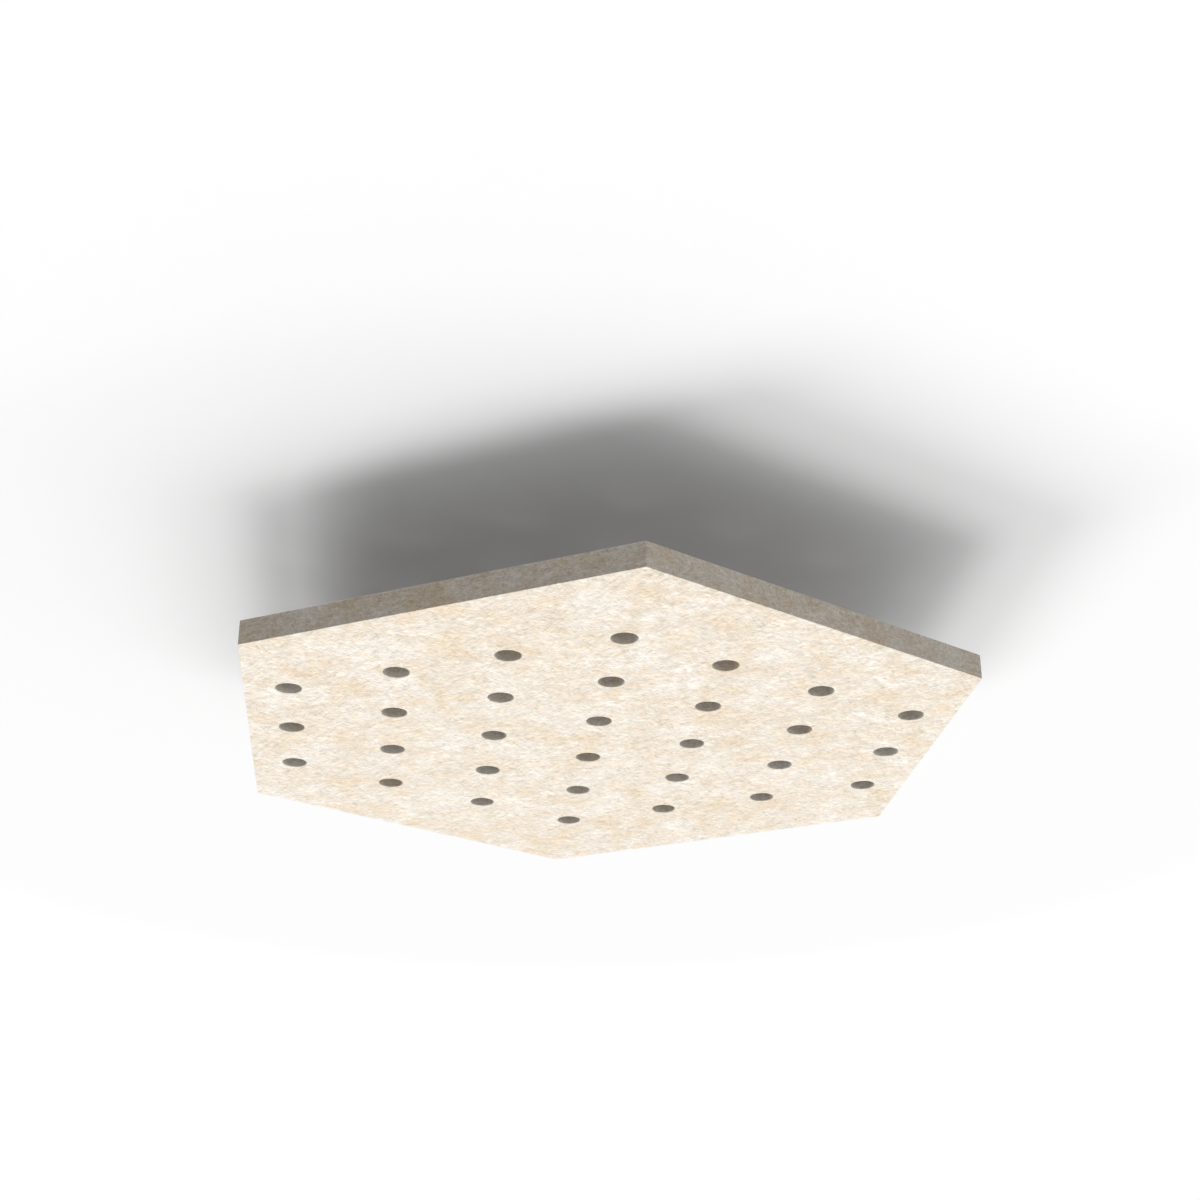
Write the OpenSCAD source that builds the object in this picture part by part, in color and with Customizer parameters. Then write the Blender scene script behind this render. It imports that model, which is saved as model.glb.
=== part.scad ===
// Hexagonal acoustic ceiling panel of pressed felt, hung from eye bolts on its back.
// All lengths are in millimetres. The origin is the centre of the visible face, which looks
// down, the back is above it, and two of the hexagon's corners lie on the Y axis.

/* [Panel] */
// Length of each side of the hexagon, which is also the distance from its centre to a corner
panel_side = 395; // [320:5:800]
// Thickness of the pressed felt
panel_thickness = 24; // [20:1:60]

/* [Perforation] */
// Diameter of each hole through the felt
hole_diameter = 25; // [8:1:50]
// Distance between the holes of a column, and between the columns
hole_pitch = 100; // [70:1:140]
// Least distance from a hole's centre to the panel's edge
hole_margin = 40; // [28:1:80]

/* [Hanging points] */
// Column of holes that the hanging points stand in, counted from the middle one
hanger_column = 2; // [1:1:3]
// Gap between two holes of that column that each point stands in, counted from the middle
hanger_row = 1; // [1:1:2]

/* [Inserts] */
// Diameter of the flange, which lies flush with the back of the felt
flange_diameter = 30; // [26:1:44]
// Thickness of the flange
flange_thickness = 2; // [1.5:0.5:3]
// Depth of the barrel below the flange
barrel_length = 15; // [12:0.5:16]
// Diameter of the barrel between its grip rings
barrel_diameter = 10.5; // [9:0.5:11.5]
// Diameter of the grip rings and of the hole drilled in the felt for them
grip_diameter = 13; // [12.5:0.5:16]
// Number of grip rings
grip_count = 3; // [2:1:4]
// Height of each grip ring
grip_height = 3; // [2:0.5:3]
// Diameter of the bore that takes the bolt
insert_bore = 6; // [5:0.5:7]
// Diameter of each of the two spanner holes in the flange
spanner_hole = 3; // [2:0.5:3.5]
// Gap around the flange in its recess
recess_clearance = 0.2; // [0.1:0.1:0.5]

/* [Eye bolts] */
// Diameter of the hole in the eye
eye_bore = 12; // [8:0.5:20]
// Width of the ring around that hole
eye_wall = 6; // [5:0.5:9]
// Thickness of the ring along its hole
eye_thickness = 6; // [5:0.5:9]
// Radius of the ring's rounded edges
eye_rounding = 2; // [1:0.25:2.25]
// Diameter of the collar that seats on the insert's flange
collar_diameter = 16; // [14:0.5:18]
// Thickness of the collar
collar_thickness = 3; // [2:0.5:5]
// Height of the neck between the collar and the ring
neck_height = 1; // [0:0.5:6]
// Diameter of the neck at the collar
neck_diameter = 11; // [8:0.5:13]
// Length of the shank below the collar
shank_length = 14; // [8:0.5:16]
// Radial gap between the shank and the insert's bore
bore_clearance = 0.05; // [0.02:0.01:0.1]

/* [Hidden] */

// Facets of a full circle, and how far a cut runs past the face that it leaves by
$fn = 96;
cut = 1;

// Colours of the felt and of the two metals
felt_colour = [0.94, 0.89, 0.81];
zinc_colour = [0.72, 0.73, 0.74];
steel_colour = [0.80, 0.81, 0.83];

// Distance from the centre to the middle of a side
apothem = panel_side * cos(30);

// Sizes of the fittings, worked out from those above
flange_radius = flange_diameter / 2;
collar_radius = collar_diameter / 2;
spanner_radius = (collar_radius + flange_radius) / 2;
grip_pitch = barrel_length / grip_count;
shank_diameter = insert_bore - 2 * bore_clearance;
eye_radius = eye_bore / 2 + eye_wall;
eye_ring_radius = eye_bore / 2 + eye_wall / 2;
eye_height = collar_thickness + neck_height + eye_radius;

// Half a pitch for the columns whose holes stand on either side of the X axis
function stagger(column) = column % 2 == 0 ? 0.5 : 0;

// Distance from a point inside the panel to the nearest of its sides
function edge_distance(x, y) =
    min(apothem - abs(x), (panel_side - abs(y) - abs(x) * tan(30)) * cos(30));

// Every place of the staggered grid that is far enough inside the panel
grid_reach = ceil(panel_side / hole_pitch);
hole_places = [
    for (column = [-grid_reach:grid_reach], row = [-grid_reach:grid_reach])
        let (x = column * hole_pitch, y = (row + stagger(abs(column))) * hole_pitch)
            if (edge_distance(x, y) >= hole_margin) [x, y]
];

// A hanging point, midway between two holes of its column
hanger_x = hanger_column * hole_pitch;
hanger_y = (hanger_row + stagger(hanger_column) - 0.5) * hole_pitch;

// Puts its children on the back of the panel, at the hanging point on the sides given
module at_hanger(side_x, side_y) {
    translate([side_x * hanger_x, side_y * hanger_y, panel_thickness]) children();
}

// The room for one insert, cut down into the back from z = 0
module insert_pocket() {
    translate([0, 0, -flange_thickness])
        cylinder(h = flange_thickness + cut, r = flange_radius + recess_clearance);
    translate([0, 0, -flange_thickness - barrel_length])
        cylinder(h = barrel_length + cut, d = grip_diameter);
}

// The felt: a hexagonal slab, drilled through and pocketed from behind
module felt_panel() {
    color(felt_colour)
        difference() {
            rotate([0, 0, 30]) cylinder(h = panel_thickness, r = panel_side, $fn = 6);
            for (place = hole_places)
                translate([place[0], place[1], -cut])
                    cylinder(h = panel_thickness + 2 * cut, d = hole_diameter);
            for (side_x = [-1, 1], side_y = [-1, 1])
                at_hanger(side_x, side_y) insert_pocket();
        }
}

// One ring that widens towards the back, so that it slides in and grips against a pull
module grip_ring() {
    cylinder(h = grip_height, d1 = barrel_diameter, d2 = grip_diameter);
}

// A flanged insert, with the top of its flange at z = 0
module threaded_insert() {
    color(zinc_colour)
        difference() {
            union() {
                translate([0, 0, -flange_thickness])
                    cylinder(h = flange_thickness, r = flange_radius);
                translate([0, 0, -flange_thickness - barrel_length])
                    cylinder(h = barrel_length + flange_thickness / 2, d = barrel_diameter);
                for (ring = [0:grip_count - 1])
                    translate([0, 0, -flange_thickness - barrel_length + ring * grip_pitch])
                        grip_ring();
            }
            translate([0, 0, -flange_thickness - barrel_length - cut])
                cylinder(h = barrel_length + flange_thickness + 2 * cut, d = insert_bore);
            for (side_y = [-1, 1])
                translate([0, side_y * spanner_radius, -flange_thickness - cut])
                    cylinder(h = flange_thickness + 2 * cut, d = spanner_hole);
        }
}

// The section of the eye's ring: a rectangle with rounded corners
module eye_section() {
    half_wall = eye_wall / 2 - eye_rounding;
    half_thickness = eye_thickness / 2 - eye_rounding;
    square([eye_wall, 2 * half_thickness], center = true);
    square([2 * half_wall, eye_thickness], center = true);
    for (side_x = [-1, 1], side_y = [-1, 1])
        translate([side_x * half_wall, side_y * half_thickness]) circle(r = eye_rounding);
}

// An eye bolt, with the seat of its collar at z = 0 and its hole along X
module eye_bolt() {
    color(steel_colour)
        union() {
            translate([0, 0, -shank_length])
                cylinder(h = shank_length + collar_thickness / 2, d = shank_diameter);
            cylinder(h = collar_thickness, d = collar_diameter);
            translate([0, 0, collar_thickness])
                cylinder(h = neck_height + eye_wall / 2, d1 = neck_diameter, d2 = eye_thickness);
            translate([0, 0, eye_height])
                rotate([0, 90, 0])
                    rotate_extrude()
                        translate([eye_ring_radius, 0]) eye_section();
        }
}

felt_panel();
at_hanger(-1, -1) threaded_insert();  // insert_front_left
at_hanger(1, -1) threaded_insert();  // insert_front_right
at_hanger(-1, 1) threaded_insert();  // insert_back_left
at_hanger(1, 1) threaded_insert();  // insert_back_right
at_hanger(-1, -1) eye_bolt();  // eye_bolt_front_left
at_hanger(1, -1) eye_bolt();  // eye_bolt_front_right
at_hanger(-1, 1) eye_bolt();  // eye_bolt_back_left
at_hanger(1, 1) eye_bolt();  // eye_bolt_back_right
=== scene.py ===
"""Looks of a hexagonal acoustic ceiling panel of pressed felt, seen from below.

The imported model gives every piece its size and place. This script models each piece again with
the finish of the real one, and sets up a plain studio around it: a pale ceiling that catches the
panel's soft shadow, a pale floor far below, soft light and the camera.
Lengths are in metres, and angles are in degrees where their name says so.
"""

import logging
import math
from collections.abc import Callable
from dataclasses import dataclass, field
from enum import Enum

import bpy
from mathutils import Matrix, Vector


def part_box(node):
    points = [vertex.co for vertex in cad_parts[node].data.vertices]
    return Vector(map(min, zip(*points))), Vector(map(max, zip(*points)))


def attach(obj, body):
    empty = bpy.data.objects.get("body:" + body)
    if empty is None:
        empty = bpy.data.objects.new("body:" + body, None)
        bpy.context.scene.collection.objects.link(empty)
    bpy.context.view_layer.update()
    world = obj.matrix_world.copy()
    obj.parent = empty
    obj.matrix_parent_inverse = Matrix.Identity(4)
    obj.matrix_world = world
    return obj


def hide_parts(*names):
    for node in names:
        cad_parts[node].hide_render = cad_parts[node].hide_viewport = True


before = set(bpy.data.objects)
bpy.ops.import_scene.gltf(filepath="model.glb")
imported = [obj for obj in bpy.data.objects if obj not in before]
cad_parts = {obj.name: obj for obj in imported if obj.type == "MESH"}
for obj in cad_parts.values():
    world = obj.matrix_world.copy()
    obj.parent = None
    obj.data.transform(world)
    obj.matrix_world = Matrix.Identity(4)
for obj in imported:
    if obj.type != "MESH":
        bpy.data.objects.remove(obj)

Colour = tuple[float, float, float]
Place = tuple[float, float, float]
Socket = bpy.types.NodeSocket
Node = bpy.types.Node
Material = bpy.types.Material
Piece = bpy.types.Object
# What a node's input is given: a plain value, or the output of another node.
Value = float | tuple[float, ...] | Socket

LOG = logging.getLogger("acoustic_panel")
MM = 0.001
# Points that are closer than this are one point.
SAME_POINT = 0.001 * MM
# How far a cutting shape reaches past the face that it cuts.
CUTTER_OVERRUN = 1 * MM
HEXAGON_SLANT_DEGREES = 30
RIGHT_ANGLE_DEGREES = 90
# Shares of a size that count as nearly all of it and as nearly none of it.
NEARLY_ALL = 0.9
NEARLY_NONE = 0.1
NOISE_MIDDLE = (0.5, 0.5, 0.5)
WHITE: Colour = (1.0, 1.0, 1.0)
TAN: Colour = (0.859, 0.703, 0.509)
ABOVE: Place = (0, 0, 1)


class HangingPoint(Enum):
    """The four places on the back where a hanging wire is hooked in."""

    FRONT_LEFT = "front_left"
    FRONT_RIGHT = "front_right"
    BACK_LEFT = "back_left"
    BACK_RIGHT = "back_right"

    @property
    def insert_node(self) -> str:
        """Name of the insert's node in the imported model."""
        return f"insert_{self.value}"

    @property
    def eye_bolt_node(self) -> str:
        """Name of the eye bolt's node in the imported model."""
        return f"eye_bolt_{self.value}"


class Element(Enum):
    """The parts of a mesh that are picked in edit mode, by Blender's names."""

    EDGE = "EDGE"
    FACE = "FACE"


class Combining(Enum):
    """The two ways in which one solid changes another, by Blender's names."""

    JOIN = "UNION"
    CUT = "DIFFERENCE"


class Maths(Enum):
    """The steps of arithmetic on numbers and on vectors, by Blender's names."""

    ADD = "ADD"
    SUBTRACT = "SUBTRACT"
    MULTIPLY = "MULTIPLY"
    MULTIPLY_ADD = "MULTIPLY_ADD"
    MAXIMUM = "MAXIMUM"
    ABSOLUTE = "ABSOLUTE"
    LESS_THAN = "LESS_THAN"
    SCALE = "SCALE"
    LENGTH = "LENGTH"
    DISTANCE = "DISTANCE"


class Bench:
    """Modelling steps on one mesh at a time, made of Blender's own operators."""

    @staticmethod
    def take(piece: Piece) -> None:
        """Selects one object alone and makes it the active one.

        Args:
            piece: The object.
        """
        bpy.ops.object.select_all(action="DESELECT")
        piece.select_set(True)
        bpy.context.view_layer.objects.active = piece

    @staticmethod
    def adopt(name: str) -> Piece:
        """Names the primitive that was just added, and moves its place into its mesh.

        Args:
            name: The new name.

        Returns:
            The primitive, its object at the origin.
        """
        piece = bpy.context.object
        piece.name = name
        bpy.ops.object.transform_apply(location=True, rotation=True, scale=True)
        return piece

    @staticmethod
    def pick(piece: Piece, kind: Element, wanted: Callable[[Vector, Vector], bool]) -> None:
        """Goes into edit mode with the faces or edges selected that pass a test.

        Args:
            piece: The object, in object mode.
            kind: Whether faces or edges are picked.
            wanted: Is given a face's centre and normal, or an edge's two ends, and says whether
                it is selected.
        """
        Bench.take(piece)
        bpy.ops.object.mode_set(mode="EDIT")
        bpy.ops.mesh.select_mode(type=kind.value)
        bpy.ops.mesh.select_all(action="DESELECT")
        bpy.ops.object.mode_set(mode="OBJECT")
        points = piece.data.vertices
        if kind is Element.FACE:
            for face in piece.data.polygons:
                face.select = wanted(face.center, face.normal)
        else:
            for edge in piece.data.edges:
                edge.select = wanted(*(points[end].co for end in edge.vertices))
        bpy.ops.object.mode_set(mode="EDIT")

    @staticmethod
    def turn(name: str, profile: list[tuple[float, float]], segments: int) -> Piece:
        """Turns a closed solid about the Z axis, from a disc that is extruded step by step.

        Args:
            name: Name of the new object.
            profile: Radius and height of each step, from the lowest to the highest.
            segments: Number of sides of the solid.

        Returns:
            The solid, at the origin.
        """
        bpy.ops.object.select_all(action="DESELECT")
        radius, height = profile[0]
        bpy.ops.mesh.primitive_circle_add(
            vertices=segments, radius=radius, fill_type="NGON", location=(0, 0, height)
        )
        piece = Bench.adopt(name)
        bpy.ops.object.mode_set(mode="EDIT")
        bpy.ops.mesh.select_all(action="SELECT")
        for next_radius, next_height in profile[1:]:
            rise = (0, 0, next_height - height)
            growth = next_radius / radius
            bpy.ops.mesh.extrude_region_move(TRANSFORM_OT_translate={"value": rise})
            bpy.ops.transform.resize(
                value=(growth, growth, 1), center_override=(0, 0, next_height)
            )
            radius, height = next_radius, next_height
        bpy.ops.mesh.select_all(action="SELECT")
        bpy.ops.mesh.normals_make_consistent(inside=False)
        bpy.ops.object.mode_set(mode="OBJECT")
        return piece

    @staticmethod
    def combine(piece: Piece, other: Piece, way: Combining) -> None:
        """Joins another solid to a piece or cuts it out, and deletes that other solid.

        Args:
            piece: The solid that is changed.
            other: The solid that is joined on or cut out.
            way: Which of the two is done.
        """
        Bench.take(piece)
        step = piece.modifiers.new("combine", "BOOLEAN")
        step.operation = way.value
        step.solver = "EXACT"
        step.object = other
        bpy.ops.object.modifier_apply(modifier=step.name)
        bpy.data.objects.remove(other)

    @staticmethod
    def copies(pattern: Piece, places: list[Vector], name: str) -> Piece:
        """Repeats a solid at a list of places and joins the copies to one mesh.

        Args:
            pattern: The solid at the origin, which is used up.
            places: Where each copy goes.
            name: Name of the joined object.

        Returns:
            The joined object.
        """
        made = [Bench.copy_to(pattern, place, name) for place in places]
        bpy.data.objects.remove(pattern)
        Bench.take(made[0])
        for piece in made[1:]:
            piece.select_set(True)
        bpy.ops.object.join()
        return made[0]

    @staticmethod
    def copy_to(pattern: Piece, place: Vector, name: str) -> Piece:
        """Copies a solid with its own mesh, moved to a place, its object at the origin.

        Args:
            pattern: The solid at the origin, which stays as it is.
            place: Where the copy goes.
            name: Name of the copy and of its mesh.

        Returns:
            The copy.
        """
        piece = pattern.copy()
        piece.data = pattern.data.copy()
        piece.data.transform(Matrix.Translation(place))
        piece.name = name
        piece.data.name = name
        bpy.context.scene.collection.objects.link(piece)
        return piece

    @staticmethod
    def finish(piece: Piece, smooth_below_degrees: float) -> None:
        """Merges doubles, turns the faces outwards and shades the round stretches smooth.

        The normals at an edge follow the larger face, so that flats stay flat beside a rounding.

        Args:
            piece: The finished solid.
            smooth_below_degrees: The largest angle between two faces that look like one curve.
        """
        Bench.take(piece)
        bpy.ops.object.mode_set(mode="EDIT")
        bpy.ops.mesh.select_all(action="SELECT")
        bpy.ops.mesh.remove_doubles(threshold=SAME_POINT)
        bpy.ops.mesh.normals_make_consistent(inside=False)
        bpy.ops.object.mode_set(mode="OBJECT")
        bpy.ops.object.shade_smooth_by_angle(angle=math.radians(smooth_below_degrees))
        step = piece.modifiers.new("follow_larger_face", "WEIGHTED_NORMAL")
        step.keep_sharp = True
        bpy.ops.object.modifier_apply(modifier=step.name)

    @staticmethod
    def cover(piece: Piece, finish: Material) -> None:
        """Gives a piece one finish all over."""
        piece.data.materials.clear()
        piece.data.materials.append(finish)


class Graph:
    """A tree of shading nodes, with a short call for each kind of step that the finishes use."""

    def __init__(self, tree: bpy.types.NodeTree) -> None:
        """Starts from an empty tree."""
        self.tree = tree
        tree.nodes.clear()

    @classmethod
    def of_material(cls, name: str) -> tuple[Material, "Graph"]:
        """Makes a material with an empty tree.

        Args:
            name: Name of the material.

        Returns:
            The material and its tree.
        """
        made = bpy.data.materials.new(name)
        made.use_nodes = True
        return made, cls(made.node_tree)

    def add(self, kind: str, inputs: dict[str, Value] | None = None, **settings: object) -> Node:
        """Adds a node.

        Args:
            kind: Blender's name of the node type.
            inputs: For each input by name, a value or the output that feeds it.
            settings: Attributes of the node.

        Returns:
            The new node.
        """
        node = self.tree.nodes.new(kind)
        for name, value in settings.items():
            setattr(node, name, value)
        for name, value in (inputs or {}).items():
            self.feed(node.inputs[name], value)
        return node

    def feed(self, target: Socket, value: Value) -> None:
        """Links an output to an input, or sets the input to a value.

        Args:
            target: The input.
            value: The output or the value.
        """
        if isinstance(value, Socket):
            self.tree.links.new(value, target)
        else:
            target.default_value = value

    def object_place(self) -> Socket:
        """The point on the surface, in the part's own frame."""
        return self.add("ShaderNodeTexCoord").outputs["Object"]

    def noise(
        self, place: Socket, size: float, detail: float = 1.0, roughness: float = 0.5
    ) -> Node:
        """Noise whose cells are about as wide as the size says."""
        inputs = {"Vector": place, "Scale": 1 / size, "Detail": detail, "Roughness": roughness}
        return self.add("ShaderNodeTexNoise", inputs)

    def level(self, value: Socket, low: float, high: float, top: float = 1.0) -> Socket:
        """Makes a smooth step of a number.

        Args:
            value: The number.
            low: Where the step starts. It may also be above its end.
            high: Where the step ends.
            top: The height of the step.

        Returns:
            0 before the step, the top past it, and a smooth slope between the two.
        """
        node = self.add(
            "ShaderNodeMapRange",
            {"Value": value, "From Min": low, "From Max": high, "To Min": 0.0, "To Max": top},
            interpolation_type="SMOOTHSTEP",
        )
        return node.outputs["Result"]

    def between(self, share: Socket, first: Value, last: Value) -> Socket:
        """A number that goes evenly from a first to a last one as the share goes from 0 to 1."""
        inputs = {"Value": share, "To Min": first, "To Max": last}
        return self.add("ShaderNodeMapRange", inputs).outputs["Result"]

    def maths(self, step: Maths, *values: Value) -> Socket:
        """Combines numbers.

        Args:
            step: What is done with them.
            values: The numbers in their order, or the outputs that give them.

        Returns:
            The result.
        """
        node = self.add("ShaderNodeMath", operation=step.value)
        for target, value in zip(node.inputs, values):
            self.feed(target, value)
        return node.outputs["Value"]

    def vector(self, step: Maths, *values: Value) -> Socket:
        """Combines vectors, or measures them.

        Args:
            step: What is done with them.
            values: The vectors in their order, or the outputs that give them.

        Returns:
            The result: a number for a length or a distance, and otherwise a vector.
        """
        node = self.add("ShaderNodeVectorMath", operation=step.value)
        for target, value in zip(node.inputs, values):
            self.feed(target, value)
        measures = step in (Maths.LENGTH, Maths.DISTANCE)
        return node.outputs["Value" if measures else "Vector"]

    def scaled(self, vector: Socket, factor: float) -> Socket:
        """A vector made longer or shorter by one factor."""
        inputs = {"Vector": vector, "Scale": factor}
        return self.add("ShaderNodeVectorMath", inputs, operation=Maths.SCALE.value).outputs["Vector"]

    def blend(self, share: Value, under: Value, over: Value) -> Socket:
        """Mixes two colours.

        Args:
            share: How much of the second colour shows, from 0 to 1.
            under: The first colour.
            over: The second colour.

        Returns:
            The mixed colour.
        """
        node = self.add("ShaderNodeMix", data_type="RGBA")
        self.feed(node.inputs["Factor"], share)
        colours = [socket for socket in node.inputs if socket.type == "RGBA"]
        for socket, colour in zip(colours, (under, over)):
            self.feed(socket, colour if isinstance(colour, Socket) else (*colour, 1.0))
        return next(socket for socket in node.outputs if socket.type == "RGBA")


@dataclass(frozen=True)
class FibreLay:
    """Bundles of fibres that lie one way in the felt.

    The strength says how much paler than the rest they are, or darker where it is below 0. For
    wisps it says how much of their own colour shows.
    """

    turn_degrees: float
    strength: float


@dataclass(frozen=True)
class FibreMat:
    """Fibre bundles of one thickness, laid across each other in several directions.

    A bundle starts where the noise passes from_level, and is full at to_level.
    """

    length: float
    width: float
    from_level: float
    to_level: float
    lays: tuple[FibreLay, ...]


@dataclass(frozen=True)
class Blotches:
    """Soft patches of one colour, strewn over the felt.

    A patch starts where the noise passes from_level, and is full at to_level, where the share
    says how much of its colour shows. Each kind is moved aside, to lie in places of its own.
    """

    colour: Colour
    size: float
    aside: float
    from_level: float
    to_level: float
    share: float
    detail: float
    roughness: float


@dataclass(frozen=True)
class FeltFinish:
    """Pressed polyester felt: a cream marl of pale and tan fibres that lie every way.

    Pale bundles are also whiter: lift_tint gives blue more of the change than red.
    Where the felt is cut, at its sides and in its holes, a darker colour is blended in: painted shade
    between the cut fibre ends. In the drilled holes this painted shade is greyer, and those holes lie
    nearer to the middle than drilled_within, where no side does.
    """

    ground: Colour = (0.893, 0.811, 0.70)
    tan_blotches: Blotches = Blotches(
        TAN, size=0.036, aside=0.2, detail=4.0, roughness=0.5,
        from_level=0.46, to_level=0.68, share=0.70,
    )
    pale_blotches: Blotches = Blotches(
        (0.955, 0.902, 0.82), size=0.055, aside=0.5, detail=4.0, roughness=0.6,
        from_level=0.44, to_level=0.66, share=0.6,
    )
    stone_clouds: Blotches = Blotches(
        (0.71, 0.635, 0.54), size=0.014, aside=0.8, detail=3.0, roughness=0.6,
        from_level=0.50, to_level=0.74, share=0.28,
    )
    tan_wisps: FibreMat = FibreMat(
        length=0.030, width=0.008, from_level=0.50, to_level=0.74,
        lays=(FibreLay(22, 0.45), FibreLay(112, 0.45), FibreLay(67, 0.45)),
    )
    mats: tuple[FibreMat, ...] = (
        FibreMat(
            length=0.024, width=0.0038, from_level=0.48, to_level=0.72,
            lays=(
                FibreLay(12, 0.086), FibreLay(118, -0.08), FibreLay(57, -0.086),
                FibreLay(147, 0.086), FibreLay(40, -0.08), FibreLay(168, 0.08),
            ),
        ),
        FibreMat(
            length=0.011, width=0.0015, from_level=0.52, to_level=0.67,
            lays=(
                FibreLay(35, 0.127), FibreLay(125, -0.11), FibreLay(60, -0.137),
                FibreLay(155, 0.11), FibreLay(10, 0.11),
            ),
        ),
    )
    lift_tint: Colour = (0.88, 1.0, 1.2)
    # Painted shade between the cut fibre ends, on the sides and in the holes, greyer in the drilled
    # holes.
    painted_gap_shade: Colour = (0.12, 0.098, 0.085)
    painted_hole_shade: Colour = (0.06, 0.158, 0.27)
    painted_shade_share: float = 0.22
    drilled_within: float = 0.335
    face_upright: float = 0.8
    cut_upright: float = 0.2
    sway_size: float = 0.03
    sway: float = 0.012
    relief: float = 0.0004
    relief_strength: float = 0.42
    cut_relief_strength: float = 0.11
    seed_step: float = 1.7
    off_plane: float = 0.009
    roughness: float = 0.95
    specular: float = 0.15
    sheen: float = 0.1
    sheen_roughness: float = 0.6

    def material(self) -> Material:
        """Builds the felt as a solid texture, so that faces, edges and holes all match.

        Returns:
            The material.
        """
        made, graph = Graph.of_material("pressed_felt")
        place = graph.object_place()
        swayed = self.swayed(graph, place)
        lift, height, seed = self.fibres(graph, swayed)
        unlifted = tuple(1 - tint for tint in self.lift_tint)
        tinted_lift = graph.vector(Maths.MULTIPLY_ADD, lift, self.lift_tint, unlifted)
        marl = self.marl(graph, place, swayed, seed)
        face = graph.vector(Maths.MULTIPLY, marl, tinted_lift)
        cut = self.cut_away(graph)
        # Painted shade: the cut sides and holes get a darker colour blended in, greyer in the drilled
        # holes.
        painted_shade_amount = graph.maths(Maths.MULTIPLY, cut, self.painted_shade_share)
        painted_gap_shade = graph.blend(self.drilled(graph, place), self.painted_gap_shade, self.painted_hole_shade)
        strength = graph.between(cut, self.relief_strength, self.cut_relief_strength)
        bump = graph.add(
            "ShaderNodeBump", {"Strength": strength, "Distance": self.relief, "Height": height}
        )
        shader = graph.add(
            "ShaderNodeBsdfPrincipled",
            {
                "Base Color": graph.blend(painted_shade_amount, face, painted_gap_shade),
                "Roughness": self.roughness,
                "Specular IOR Level": self.specular,
                "Sheen Weight": self.sheen,
                "Sheen Roughness": self.sheen_roughness,
                "Normal": bump.outputs["Normal"],
            },
        )
        graph.add("ShaderNodeOutputMaterial", {"Surface": shader.outputs["BSDF"]})
        return made

    def swayed(self, graph: Graph, place: Socket) -> Socket:
        """Bends the place a little to and fro, so that the bundles aren't ruled straight.

        Args:
            graph: The tree to add to.
            place: The point on the surface.

        Returns:
            The bent place.
        """
        wave = graph.noise(place, self.sway_size).outputs["Color"]
        centred = graph.vector(Maths.SUBTRACT, wave, NOISE_MIDDLE)
        return graph.vector(Maths.ADD, place, graph.scaled(centred, self.sway))

    def fibres(self, graph: Graph, swayed: Socket) -> tuple[Socket, Socket, float]:
        """Lays the bundles of every mat.

        Args:
            graph: The tree to add to.
            swayed: The point on the surface, bent to and fro.

        Returns:
            The factor by which the bundles make the felt paler or darker, the height of the last
            mat's bundles, and the first shift that no layer has used.
        """
        lift: Value = 1.0
        seed = self.seed_step
        for mat in self.mats:
            height: Value = 0.0
            for lay in mat.lays:
                mask = self.bundles(graph, swayed, mat, lay.turn_degrees, seed)
                change = graph.maths(Maths.MULTIPLY, mask, lay.strength)
                lift = graph.maths(Maths.ADD, lift, change)
                height = graph.maths(Maths.MAXIMUM, height, mask)
                seed += self.seed_step
        return lift, height, seed

    def bundles(
        self, graph: Graph, place: Socket, mat: FibreMat, turn_degrees: float, seed: float
    ) -> Socket:
        """A mask of bundles that are long one way in the board's plane.

        Args:
            graph: The tree to add to.
            place: The point on the surface.
            mat: Length, thickness and sharpness of the bundles.
            turn_degrees: Their direction.
            seed: Shift that makes each layer its own.

        Returns:
            The mask, from 0 to 1.
        """
        turned = graph.add(
            "ShaderNodeMapping",
            {
                "Vector": place,
                "Location": (seed, seed, seed),
                "Rotation": (0.0, 0.0, math.radians(turn_degrees)),
            },
        )
        per_metre = (1 / mat.length, 1 / mat.width, 1 / mat.width)
        in_bundles = graph.vector(Maths.MULTIPLY, turned.outputs["Vector"], per_metre)
        grain = graph.noise(in_bundles, 1.0).outputs["Fac"]
        return graph.level(grain, mat.from_level, mat.to_level)

    def marl(self, graph: Graph, place: Socket, swayed: Socket, seed: float) -> Socket:
        """The felt's ground, with tan and pale blotches, tan wisps and greyish clouds.

        Args:
            graph: The tree to add to.
            place: The point on the surface.
            swayed: The same point, bent to and fro.
            seed: First of the wisps' own shifts.

        Returns:
            The colour.
        """
        colour = self.strewn(graph, place, self.tan_blotches, self.ground)
        for number, lay in enumerate(self.tan_wisps.lays):
            shift = seed + number * self.seed_step
            mask = self.bundles(graph, swayed, self.tan_wisps, lay.turn_degrees, shift)
            colour = graph.blend(graph.maths(Maths.MULTIPLY, mask, lay.strength), colour, TAN)
        colour = self.strewn(graph, place, self.pale_blotches, colour)
        return self.strewn(graph, place, self.stone_clouds, colour)

    def strewn(self, graph: Graph, place: Socket, kind: Blotches, under: Value) -> Socket:
        """Strews one kind of blotches over a colour.

        The place is moved aside, and up off the plane where the noise is at its calmest.

        Args:
            graph: The tree to add to.
            place: The point on the surface.
            kind: The blotches.
            under: The colour that they lie on.

        Returns:
            The colour with the blotches.
        """
        shift = (kind.aside, kind.aside, self.off_plane)
        moved = graph.add("ShaderNodeMapping", {"Vector": place, "Location": shift})
        grain = graph.noise(moved.outputs["Vector"], kind.size, kind.detail, kind.roughness)
        share = graph.level(grain.outputs["Fac"], kind.from_level, kind.to_level, kind.share)
        return graph.blend(share, under, kind.colour)

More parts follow.
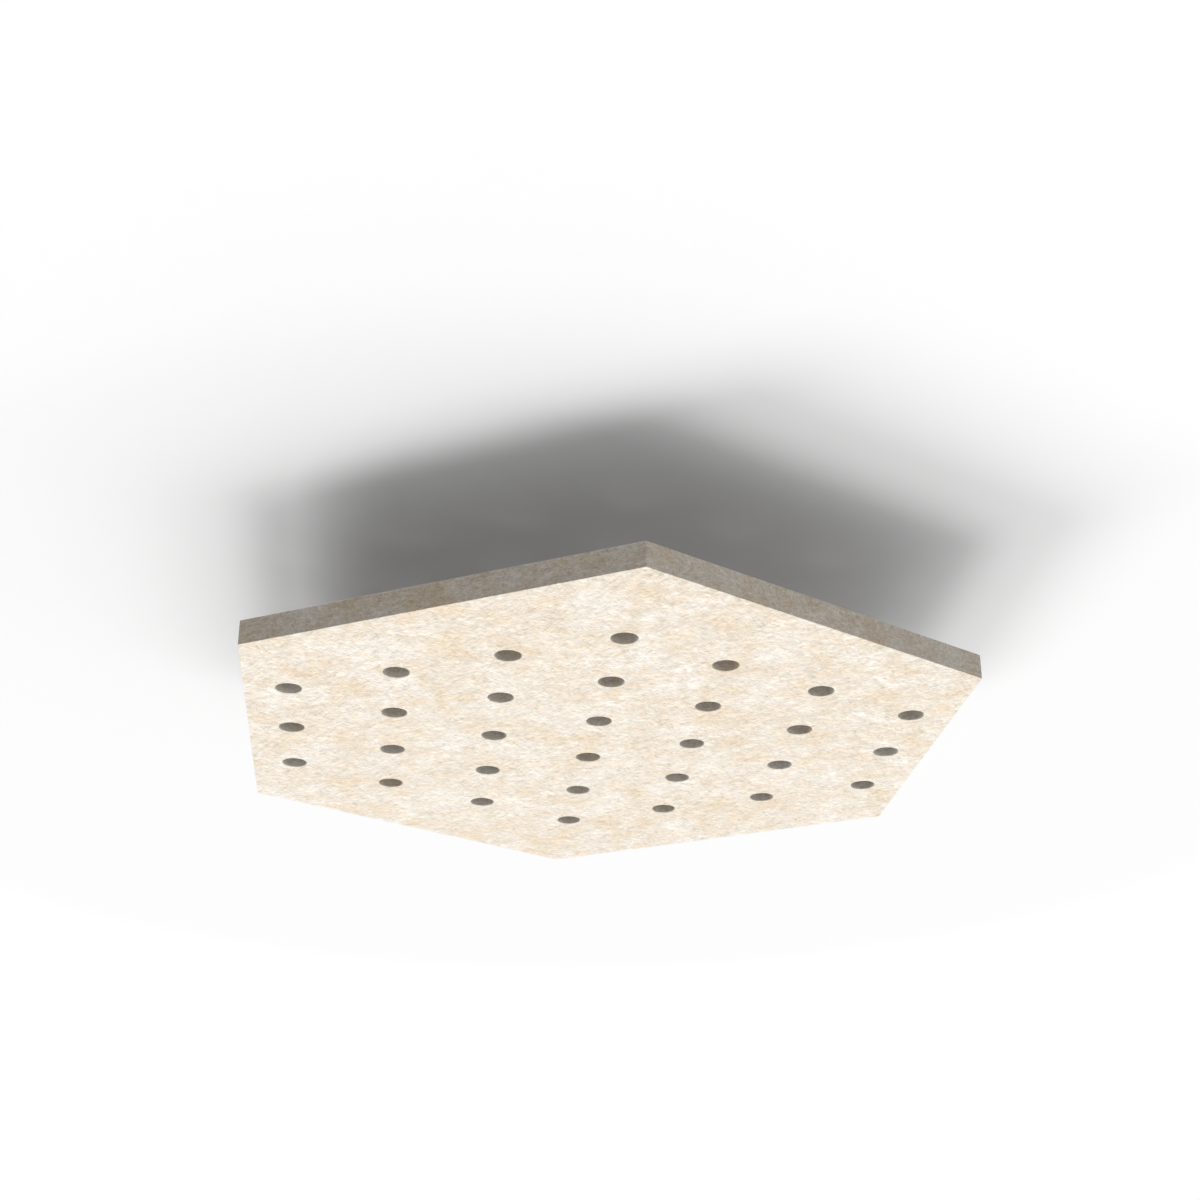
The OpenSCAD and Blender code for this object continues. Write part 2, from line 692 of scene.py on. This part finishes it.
    def cut_away(self, graph: Graph) -> Socket:
        """Tells the cut sides and holes from the faces, by how upright the surface's normal is.

        Args:
            graph: The tree to add to.

        Returns:
            1 on the sides and in the holes, where the fibres are cut off, and 0 on the faces.
        """
        normal = graph.add("ShaderNodeTexCoord").outputs["Normal"]
        rise = graph.add("ShaderNodeSeparateXYZ", {"Vector": normal}).outputs["Z"]
        upright = graph.maths(Maths.ABSOLUTE, rise)
        return graph.level(upright, self.face_upright, self.cut_upright)

    def drilled(self, graph: Graph, place: Socket) -> Socket:
        """1 where the drilled holes are, and 0 at the outer sides."""
        distance = graph.vector(Maths.LENGTH, place)
        return graph.maths(Maths.LESS_THAN, distance, self.drilled_within)


@dataclass(frozen=True)
class ZincFinish:
    """Zinc-plated steel with a faint mottle from the plating bath."""

    name: str
    light: Colour
    dark: Colour
    polish: float = 0.32
    dullness: float = 0.48
    mottle_size: float = 0.002
    mottle_detail: float = 4.0
    mottle_roughness: float = 0.6
    relief: float = 0.05 * MM
    relief_strength: float = 0.2

    def material(self) -> Material:
        """Builds the plated metal, its tone and its gloss broken up by the mottle.

        Returns:
            The material.
        """
        made, graph = Graph.of_material(self.name)
        place = graph.object_place()
        noise = graph.noise(place, self.mottle_size, self.mottle_detail, self.mottle_roughness)
        mottle = noise.outputs["Fac"]
        gloss = graph.between(mottle, self.polish, self.dullness)
        bump = graph.add(
            "ShaderNodeBump",
            {"Strength": self.relief_strength, "Distance": self.relief, "Height": mottle},
        )
        shader = graph.add(
            "ShaderNodeBsdfPrincipled",
            {
                "Base Color": graph.blend(mottle, self.light, self.dark),
                "Metallic": 1.0,
                "Roughness": gloss,
                "Normal": bump.outputs["Normal"],
            },
        )
        graph.add("ShaderNodeOutputMaterial", {"Surface": shader.outputs["BSDF"]})
        return made


@dataclass
class FeltSlab:
    """The drilled hexagonal slab of felt, with the pockets for the inserts in its back."""

    corners: int = 6
    hole_radius: float = 12.5 * MM
    hole_pitch: float = 100 * MM
    hole_margin: float = 40 * MM
    edge_rounding: float = 0.4 * MM
    edge_steps: int = 3
    rim_rounding: float = 0.8 * MM
    rim_steps: int = 4
    flange_recess_radius: float = 15.2 * MM
    flange_depth: float = 2 * MM
    barrel_hole_radius: float = 6.5 * MM
    segments: int = 64
    smooth_below_degrees: float = 35
    low: Vector = field(default_factory=lambda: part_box("felt_panel")[0])
    high: Vector = field(default_factory=lambda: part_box("felt_panel")[1])
    finish: FeltFinish = FeltFinish()

    @property
    def side(self) -> float:
        """Length of a side of the hexagon, which is also its centre's distance to a corner."""
        return self.high.y

    @property
    def thickness(self) -> float:
        """Thickness of the felt."""
        return self.high.z - self.low.z

    def edge_distance(self, x: float, y: float) -> float:
        """Measures from a point inside the hexagon to the nearest of its sides.

        Args:
            x: The point's place along X.
            y: The point's place along Y.

        Returns:
            The distance.
        """
        slant = math.radians(HEXAGON_SLANT_DEGREES)
        to_flat = self.side * math.cos(slant) - abs(x)
        to_slant = (self.side - abs(y) - abs(x) * math.tan(slant)) * math.cos(slant)
        return min(to_flat, to_slant)

    def hole_places(self) -> list[Vector]:
        """Lists every place of the staggered grid that is far enough inside the hexagon.

        Every second column is moved by half a pitch, the middle one too.

        Returns:
            The holes' centres.
        """
        reach = math.ceil(self.side / self.hole_pitch)
        places = []
        for column in range(-reach, reach + 1):
            stagger = 0.5 if column % 2 == 0 else 0.0
            for row in range(-reach, reach + 1):
                x = column * self.hole_pitch
                y = (row + stagger) * self.hole_pitch
                if self.edge_distance(x, y) >= self.hole_margin:
                    places.append(Vector((x, y, 0.0)))
        return places

    def drill(self) -> Piece:
        """Models the shape that one hole takes away, flared at both faces to round the rims.

        The flare runs on past the face by the slope of its last step, so that no ring of the
        drill lies in the face that it cuts.

        Returns:
            The shape, with the felt's face at z = 0.
        """
        radius, rim, steps = self.hole_radius, self.rim_rounding, self.rim_steps
        turns = [math.radians(RIGHT_ANGLE_DEGREES * step / steps) for step in range(steps + 1)]
        lower = [
            (radius + rim * (1 - math.cos(turn)), rim * (1 - math.sin(turn))) for turn in turns
        ]
        before, last = lower[-2:]
        lower[-1] = tuple(end + steps * (end - start) for start, end in zip(before, last))
        lower.reverse()
        upper = [(step, self.thickness - height) for step, height in reversed(lower)]
        return Bench.turn("drill", lower + upper, self.segments)

    def pocket(self, depth: float) -> Piece:
        """Models the shape that one insert's pocket takes away.

        Args:
            depth: How far the pocket reaches down.

        Returns:
            The shape, with the back of the felt at z = 0.
        """
        steps = [
            (self.barrel_hole_radius, -depth),
            (self.barrel_hole_radius, -self.flange_depth),
            (self.flange_recess_radius, -self.flange_depth),
            (self.flange_recess_radius, CUTTER_OVERRUN),
        ]
        return Bench.turn("pocket", steps, self.segments)

    def model(self, hangers: list[Vector], insert_depth: float) -> Piece:
        """Models the slab: a rounded hexagonal prism, drilled and pocketed.

        Args:
            hangers: Where each insert's axis meets the back of the felt.
            insert_depth: How far an insert reaches down into the felt.

        Returns:
            The slab.
        """
        bpy.ops.object.select_all(action="DESELECT")
        bpy.ops.mesh.primitive_cylinder_add(
            vertices=self.corners,
            radius=self.side,
            depth=self.thickness,
            location=(0, 0, self.thickness / 2),
        )
        slab = Bench.adopt("pressed_felt_slab")
        bpy.ops.object.mode_set(mode="EDIT")
        bpy.ops.mesh.select_all(action="SELECT")
        bpy.ops.mesh.bevel(offset=self.edge_rounding, segments=self.edge_steps, affect="EDGES")
        bpy.ops.object.mode_set(mode="OBJECT")
        drills = Bench.copies(self.drill(), self.hole_places(), "drills")
        Bench.combine(slab, drills, Combining.CUT)
        pockets = Bench.copies(self.pocket(insert_depth), hangers, "pockets")
        Bench.combine(slab, pockets, Combining.CUT)
        Bench.finish(slab, self.smooth_below_degrees)
        return slab

    def dress(self, slab: Piece) -> None:
        """Gives the slab its felt."""
        Bench.cover(slab, self.finish.material())


@dataclass
class Thread:
    """A metric thread, cut by moving the rings of a turned shank in and out."""

    pitch: float = 1 * MM
    depth: float = 0.5 * MM
    rings_per_turn: int = 8
    segments: int = 48

    def shank(self, name: str, radius: float, bottom: float, top: float) -> Piece:
        """Models a threaded rod along Z, whose thread fades out over one turn at each end.

        Args:
            name: Name of the new object.
            radius: Radius at the thread's crests.
            bottom: Height of its lower end.
            top: Height of its upper end.

        Returns:
            The rod, closed at both ends.
        """
        steps = round((top - bottom) / self.pitch * self.rings_per_turn)
        rise = (top - bottom) / steps
        core = radius - self.depth
        rings = [(core, bottom + rise * step) for step in range(steps + 1)]
        rod = Bench.turn(name, rings, self.segments)
        for point in rod.data.vertices:
            turns = point.co.z / self.pitch - math.atan2(point.co.y, point.co.x) / math.tau
            crest = 1 - abs(2 * (turns % 1.0) - 1)
            fade = min(1.0, (point.co.z - bottom) / self.pitch, (top - point.co.z) / self.pitch)
            growth = 1 + self.depth * crest * max(0.0, fade) / core
            point.co.x *= growth
            point.co.y *= growth
        return rod


@dataclass
class ThreadedInsert:
    """A flanged insert with grip rings, which gives a bolt its thread in the soft felt."""

    flange_depth: float = 2 * MM
    barrel_radius: float = 5.25 * MM
    grip_radius: float = 6.5 * MM
    grip_count: int = 3
    grip_height: float = 3 * MM
    bore_radius: float = 3 * MM
    spanner_hole_radius: float = 1.5 * MM
    spanner_hole_segments: int = 24
    collar_radius: float = 8 * MM
    edge: float = 0.3 * MM
    segments: int = 64
    smooth_below_degrees: float = 30
    low: Vector = field(default_factory=lambda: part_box(HangingPoint.FRONT_LEFT.insert_node)[0])
    high: Vector = field(default_factory=lambda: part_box(HangingPoint.FRONT_LEFT.insert_node)[1])
    finish: ZincFinish = ZincFinish("insert_zinc", light=(0.74, 0.75, 0.76), dark=(0.58, 0.59, 0.60))

    @property
    def flange_radius(self) -> float:
        """Radius of the flange."""
        return (self.high.x - self.low.x) / 2

    @property
    def depth(self) -> float:
        """How far the insert reaches down from the top of its flange."""
        return self.high.z - self.low.z

    def model(self) -> Piece:
        """Models the insert: a barrel with grip rings and a flange, bored and threaded.

        Returns:
            The insert, with the top of its flange at z = 0.
        """
        grip_pitch = (self.depth - self.flange_depth) / self.grip_count
        steps = []
        for ring in range(self.grip_count):
            foot = -self.depth + ring * grip_pitch
            steps.append((self.barrel_radius, foot))
            steps.append((self.grip_radius, foot + self.grip_height))
            steps.append((self.barrel_radius, foot + self.grip_height))
        steps += [
            (self.barrel_radius, -self.flange_depth),
            (self.flange_radius, -self.flange_depth),
            (self.flange_radius, -self.edge),
            (self.flange_radius - self.edge, 0.0),
        ]
        insert = Bench.turn("insert", steps, self.segments)
        bore_foot = -self.depth - CUTTER_OVERRUN
        bore = Thread().shank("bore", self.bore_radius, bore_foot, CUTTER_OVERRUN)
        Bench.combine(insert, bore, Combining.CUT)
        Bench.combine(insert, self.spanner_holes(), Combining.CUT)
        Bench.finish(insert, self.smooth_below_degrees)
        return insert

    def spanner_holes(self) -> Piece:
        """Models the two pins that are cut out of the flange, where a pin spanner fits.

        Returns:
            Both pins, midway between the bolt's collar and the flange's rim.
        """
        radius = self.spanner_hole_radius
        steps = [(radius, -self.flange_depth - CUTTER_OVERRUN), (radius, CUTTER_OVERRUN)]
        pin = Bench.turn("pin", steps, self.spanner_hole_segments)
        from_axis = (self.collar_radius + self.flange_radius) / 2
        places = [Vector((0, side * from_axis, 0)) for side in (-1, 1)]
        return Bench.copies(pin, places, "pins")

    def dress(self, insert: Piece) -> None:
        """Gives the insert its zinc."""
        Bench.cover(insert, self.finish.material())


@dataclass
class EyeBolt:
    """An eye bolt: a rounded ring on a short neck, a collar and a threaded shank."""

    eye_wall: float = 6 * MM
    eye_thickness: float = 6 * MM
    eye_rounding: float = 2 * MM
    eye_steps: int = 5
    collar_thickness: float = 3 * MM
    neck_radius: float = 5.5 * MM
    neck_inset: float = 0.1 * MM
    shank_radius: float = 2.95 * MM
    edge: float = 0.4 * MM
    segments: int = 64
    smooth_below_degrees: float = 35
    low: Vector = field(default_factory=lambda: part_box(HangingPoint.FRONT_LEFT.eye_bolt_node)[0])
    high: Vector = field(default_factory=lambda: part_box(HangingPoint.FRONT_LEFT.eye_bolt_node)[1])
    seat: float = field(default_factory=lambda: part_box("felt_panel")[1].z)
    finish: ZincFinish = ZincFinish("eye_bolt_zinc", light=(0.82, 0.83, 0.85), dark=(0.68, 0.69, 0.71))

    @property
    def eye_radius(self) -> float:
        """Outer radius of the ring."""
        return (self.high.y - self.low.y) / 2

    @property
    def collar_radius(self) -> float:
        """Radius of the collar."""
        return (self.high.x - self.low.x) / 2

    @property
    def eye_height(self) -> float:
        """Height of the ring's centre above the collar's seat."""
        return self.high.z - self.seat - self.eye_radius

    def runs_round(self, first: Vector, second: Vector) -> bool:
        """Says whether an edge runs round one of the ring's four sharp corners.

        Args:
            first: One end of the edge.
            second: Its other end.

        Returns:
            True where both ends lie in one cap, equally far from the ring's axis.
        """
        half = self.eye_thickness / 2
        same_side = abs(first.x - second.x) < NEARLY_NONE * half
        at_cap = abs(first.x) > NEARLY_ALL * half
        radii = [math.hypot(end.y, end.z - self.eye_height) for end in (first, second)]
        same_radius = abs(radii[0] - radii[1]) < NEARLY_NONE * self.eye_wall
        return same_side and at_cap and same_radius

    def ring(self) -> Piece:
        """Models the ring: a disc opened through its caps, with its four edges rounded.

        Returns:
            The ring, at its height above the collar's seat.
        """
        bpy.ops.object.select_all(action="DESELECT")
        bpy.ops.mesh.primitive_cylinder_add(
            vertices=self.segments,
            radius=self.eye_radius,
            depth=self.eye_thickness,
            location=(0, 0, self.eye_height),
            rotation=(0, math.radians(RIGHT_ANGLE_DEGREES), 0),
        )
        ring = Bench.adopt("ring")
        Bench.pick(ring, Element.FACE, lambda centre, normal: abs(normal.x) > NEARLY_ALL)
        bpy.ops.mesh.inset(thickness=self.eye_wall)
        bpy.ops.mesh.bridge_edge_loops()
        bpy.ops.object.mode_set(mode="OBJECT")
        Bench.pick(ring, Element.EDGE, self.runs_round)
        bpy.ops.mesh.bevel(offset=self.eye_rounding, segments=self.eye_steps, affect="EDGES")
        bpy.ops.object.mode_set(mode="OBJECT")
        return ring

    def model(self) -> Piece:
        """Models the eye bolt. Its neck is a little narrower than the ring that it runs into.

        Returns:
            The eye bolt, with the seat of its collar at z = 0 and its eye along X.
        """
        collar_top = self.collar_thickness
        neck_top = self.eye_height - self.eye_radius + self.eye_wall / 2
        steps = [
            (self.collar_radius - self.edge, 0.0),
            (self.collar_radius, self.edge),
            (self.collar_radius, collar_top - self.edge),
            (self.collar_radius - self.edge, collar_top),
            (self.neck_radius, collar_top),
            (self.eye_thickness / 2 - self.neck_inset, neck_top),
        ]
        bolt = Bench.turn("eye_bolt", steps, self.segments)
        Bench.combine(bolt, self.ring(), Combining.JOIN)
        foot = self.low.z - self.seat
        shank = Thread().shank("shank", self.shank_radius, foot, collar_top / 2)
        Bench.combine(bolt, shank, Combining.JOIN)
        Bench.finish(bolt, self.smooth_below_degrees)
        return bolt

    def dress(self, bolt: Piece) -> None:
        """Gives the eye bolt its zinc."""
        Bench.cover(bolt, self.finish.material())


@dataclass
class CeilingPanel:
    """The whole part: the felt slab and the four inserts and eye bolts that it hangs by."""

    slab: FeltSlab = field(default_factory=FeltSlab)
    insert: ThreadedInsert = field(default_factory=ThreadedInsert)
    eye_bolt: EyeBolt = field(default_factory=EyeBolt)

    def hanger(self, point: HangingPoint) -> Vector:
        """Where a hanging point's axis meets the back of the felt."""
        low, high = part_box(point.insert_node)
        return Vector(((low.x + high.x) / 2, (low.y + high.y) / 2, self.slab.high.z))

    def build(self) -> None:
        """Builds, dresses and reports every piece, in order."""
        hangers = {point: self.hanger(point) for point in HangingPoint}
        slab = self.slab.model(list(hangers.values()), self.insert.depth)
        self.slab.dress(slab)
        self.fit(slab, "felt_panel", "felt")
        insert = self.insert.model()
        self.insert.dress(insert)
        eye_bolt = self.eye_bolt.model()
        self.eye_bolt.dress(eye_bolt)
        for point, place in hangers.items():
            piece = Bench.copy_to(insert, place, f"flanged_{point.insert_node}")
            self.fit(piece, point.insert_node, "insert_steel")
            piece = Bench.copy_to(eye_bolt, place, f"forged_{point.eye_bolt_node}")
            self.fit(piece, point.eye_bolt_node, "eye_bolt_steel")
        for pattern in (insert, eye_bolt):
            bpy.data.objects.remove(pattern)

    @staticmethod
    def fit(piece: Piece, node: str, slot: str) -> None:
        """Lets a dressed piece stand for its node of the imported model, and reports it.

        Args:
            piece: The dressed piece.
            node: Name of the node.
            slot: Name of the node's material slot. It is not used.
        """
        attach(piece, "root")
        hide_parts(node)
        LOG.info("%s stands for %s: %d faces", piece.name, node, len(piece.data.polygons))


@dataclass(frozen=True)
class Lamp:
    """A wide sun: soft light from one direction.

    At a level of 1, a plain matt surface that faces the lamp shows its colour as it is written.
    The bounces say how often the light is thrown on from piece to piece, and glints says whether
    shiny metal mirrors the lamp.
    """

    name: str
    level: float
    spread_degrees: float
    comes_from: Place
    bounces: int
    tint: Colour = WHITE
    glints: bool = True

    def hang(self) -> None:
        """Adds the lamp."""
        bpy.ops.object.select_all(action="DESELECT")
        aim = Vector(self.comes_from).to_track_quat("Z", "Y").to_euler()
        bpy.ops.object.light_add(type="SUN", rotation=aim)
        lamp = bpy.context.object
        lamp.name = self.name
        lamp.data.color = self.tint
        lamp.data.energy = math.pi * self.level
        lamp.data.angle = math.radians(self.spread_degrees)
        lamp.data.cycles.max_bounces = self.bounces
        lamp.visible_glossy = self.glints


@dataclass(frozen=True)
class PaintFinish:
    """Matt paint on the front of a large plane, which can be seen through from behind.

    The paint goes from one tone near a point of the plane to another one further out.
    """

    near: Colour
    far: Colour
    centre: Place
    from_radius: float
    to_radius: float

    def material(self, name: str) -> Material:
        """Builds the paint.

        Args:
            name: Name of the material.

        Returns:
            The material.
        """
        made, graph = Graph.of_material(name)
        distance = graph.vector(Maths.DISTANCE, graph.object_place(), self.centre)
        share = graph.level(distance, self.from_radius, self.to_radius)
        tone = graph.blend(share, self.near, self.far)
        paint = graph.add("ShaderNodeBsdfDiffuse", {"Color": tone})
        clear = graph.add("ShaderNodeBsdfTransparent")
        mixed = graph.add("ShaderNodeMixShader")
        behind = graph.add("ShaderNodeNewGeometry").outputs["Backfacing"]
        sources = (behind, paint.outputs["BSDF"], clear.outputs["BSDF"])
        for target, source in zip(mixed.inputs, sources):
            graph.feed(target, source)
        graph.add("ShaderNodeOutputMaterial", {"Surface": mixed.outputs["Shader"]})
        return made


@dataclass
class Studio:
    """The plain surroundings: a ceiling above, a floor far below, soft light and the camera.

    Four wide lamps light the face from below and cast the shadow. Three more share the light on
    the back. Of these three, only light_on_back is thrown on, up to the ceiling, and its tint
    makes up for the cream of the felt on the way, and only glint_on_back shows in the zinc.
    """

    ceiling_height: float = 0.116
    ceiling_size: float = 12.0
    # Painted shade: the ceiling's paint is a little darker within about a metre of the panel, and
    # white further out.
    ceiling_paint_with_painted_shade: PaintFinish = PaintFinish(
        near=(0.972, 0.972, 0.972),
        far=WHITE,
        centre=(0.0, 0.39, ceiling_height),
        from_radius=0.90,
        to_radius=1.03,
    )
    floor_height: float = -2.4
    floor_size: float = 30.0
    floor_paint: PaintFinish = PaintFinish(
        near=(0.842, 0.842, 0.842),
        far=WHITE,
        centre=(0.0, 0.0, floor_height),
        from_radius=1.0,
        to_radius=7.0,
    )
    dim_level: float = 0.02
    horizon_level: float = 1.0
    horizon_lean: float = 0.20
    horizon_width: float = 0.5
    camera_place: Place = (-0.2002, -1.8114, -0.7058)
    camera_target: Place = (-0.0307, -0.3271, 0.0)
    focal_pixels: float = 1941.5
    photo_width: float = 1200.0
    sensor_mm: float = 36.0
    lamps: tuple[Lamp, ...] = (
        Lamp("key_from_left", 0.440, 24.0, comes_from=(-0.452, 0.701, -0.551), bounces=1),
        Lamp("key_from_behind", 0.194, 29.0, comes_from=(-0.047, 0.483, -0.874), bounces=1),
        Lamp("key_from_right", 0.539, 69.0, comes_from=(0.377, 0.779, -0.501), bounces=1),
        Lamp("wide_key_from_below", 0.254, 155.0, comes_from=(0.262, 0.266, -0.928), bounces=1),
        Lamp(
            "light_on_back", 0.035, 8.0, ABOVE, bounces=4, tint=(0.64, 0.94, 1.42), glints=False
        ),
        Lamp("dull_light_on_back", 0.485, 8.0, ABOVE, bounces=0, glints=False),
        Lamp("glint_on_back", 0.40, 8.0, ABOVE, bounces=0),
    )

    def build(self) -> None:
        """Sets up the stage, the light and the camera."""
        self.plane(
            "ceiling", self.ceiling_height, self.ceiling_size, self.ceiling_paint_with_painted_shade, faces_down=True
        )
        self.plane("floor", self.floor_height, self.floor_size, self.floor_paint, faces_down=False)
        self.surroundings()
        for lamp in self.lamps:
            lamp.hang()
        self.camera()
        bpy.context.scene.view_settings.view_transform = "Standard"

    @staticmethod
    def plane(name: str, height: float, size: float, paint: PaintFinish, faces_down: bool) -> None:
        """Adds a large plane that shows from one side only.

        Args:
            name: Name of the plane.
            height: Its height in the part's frame.
            size: Length of its sides.
            paint: Its finish.
            faces_down: Whether its visible side is the lower one.
        """
        bpy.ops.object.select_all(action="DESELECT")
        bpy.ops.mesh.primitive_plane_add(size=size, location=(0, 0, height))
        plane = Bench.adopt(name)
        if faces_down:
            bpy.ops.object.mode_set(mode="EDIT")
            bpy.ops.mesh.select_all(action="SELECT")
            bpy.ops.mesh.flip_normals()
            bpy.ops.object.mode_set(mode="OBJECT")
        Bench.cover(plane, paint.material(f"{name}_paint"))
        plane.visible_shadow = False
        plane.visible_diffuse = False

    def surroundings(self) -> None:
        """Lights the scene from a bright horizon, and shows white to the camera."""
        world = bpy.data.worlds.new("studio")
        bpy.context.scene.world = world
        world.use_nodes = True
        graph = Graph(world.node_tree)
        direction = graph.add("ShaderNodeTexCoord").outputs["Generated"]
        axes = graph.add("ShaderNodeSeparateXYZ", {"Vector": direction}).outputs
        height = graph.maths(Maths.ABSOLUTE, axes["Z"])
        band = graph.level(height, self.horizon_width, 0.0, self.horizon_level)
        lean = graph.maths(Maths.MULTIPLY_ADD, axes["X"], self.horizon_lean, 1.0)
        level = graph.maths(Maths.ADD, graph.maths(Maths.MULTIPLY, band, lean), self.dim_level)
        path = graph.add("ShaderNodeLightPath").outputs
        seen = graph.maths(Maths.MAXIMUM, path["Is Camera Ray"], path["Is Glossy Ray"])
        strength = graph.between(seen, level, 1.0)
        glow = graph.add("ShaderNodeBackground", {"Color": (*WHITE, 1.0), "Strength": strength})
        graph.add("ShaderNodeOutputWorld", {"Surface": glow.outputs["Background"]})

    def camera(self) -> None:
        """Adds the camera at the photograph's viewpoint."""
        place, target = Vector(self.camera_place), Vector(self.camera_target)
        gaze = (target - place).to_track_quat("-Z", "Y").to_euler()
        bpy.ops.object.camera_add(location=place, rotation=gaze)
        camera = bpy.context.object
        camera.data.sensor_width = self.sensor_mm
        camera.data.lens = self.focal_pixels * self.sensor_mm / self.photo_width
        bpy.context.scene.camera = camera


def main() -> None:
    """Builds the part and its studio."""
    logging.basicConfig(level=logging.INFO, format="%(message)s")
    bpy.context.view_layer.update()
    Studio().build()
    CeilingPanel().build()


if __name__ == "__main__":
    main()
